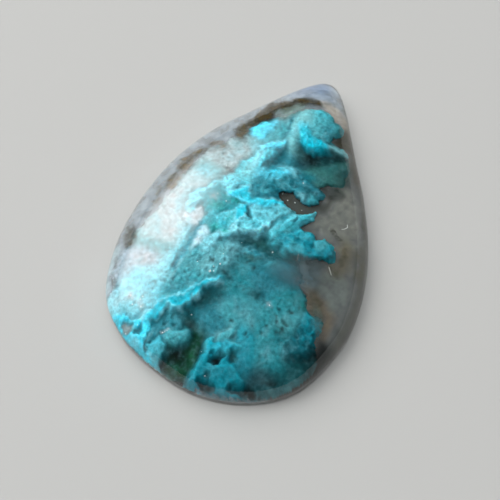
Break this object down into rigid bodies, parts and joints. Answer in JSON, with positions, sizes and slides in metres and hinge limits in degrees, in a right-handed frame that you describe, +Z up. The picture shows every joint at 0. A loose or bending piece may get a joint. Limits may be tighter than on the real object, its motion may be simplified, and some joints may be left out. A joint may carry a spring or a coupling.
{
  "type": "pear-shaped chrysocolla cabochon",
  "caption": "Polished pear-shaped cabochon of clear smoky chalcedony with turquoise chrysocolla plumes sealed inside, domed above and flat on its back.",
  "frame": {"origin": "middle of the flat back, at the centre of the stone's bounding box", "axes": "+Z up out of the dome, +Y towards the tip of the pear, +X to the right when the dome faces the viewer with the tip up"},
  "size_m": [0.022, 0.032, 0.0062],
  "materials": {
    "chalcedony": "clear, slightly smoky, high polish",
    "chrysocolla": "turquoise to deep teal, crinkled and granular, sealed under the polish",
    "iron_stain": "olive-brown moss-like specks and stain in the clear stone"
  },
  "bodies": {
    "root": {"clear_crown": "chalcedony", "clear_base": "chalcedony", "chrysocolla_growth": "chrysocolla"}
  },
  "joints": []
}
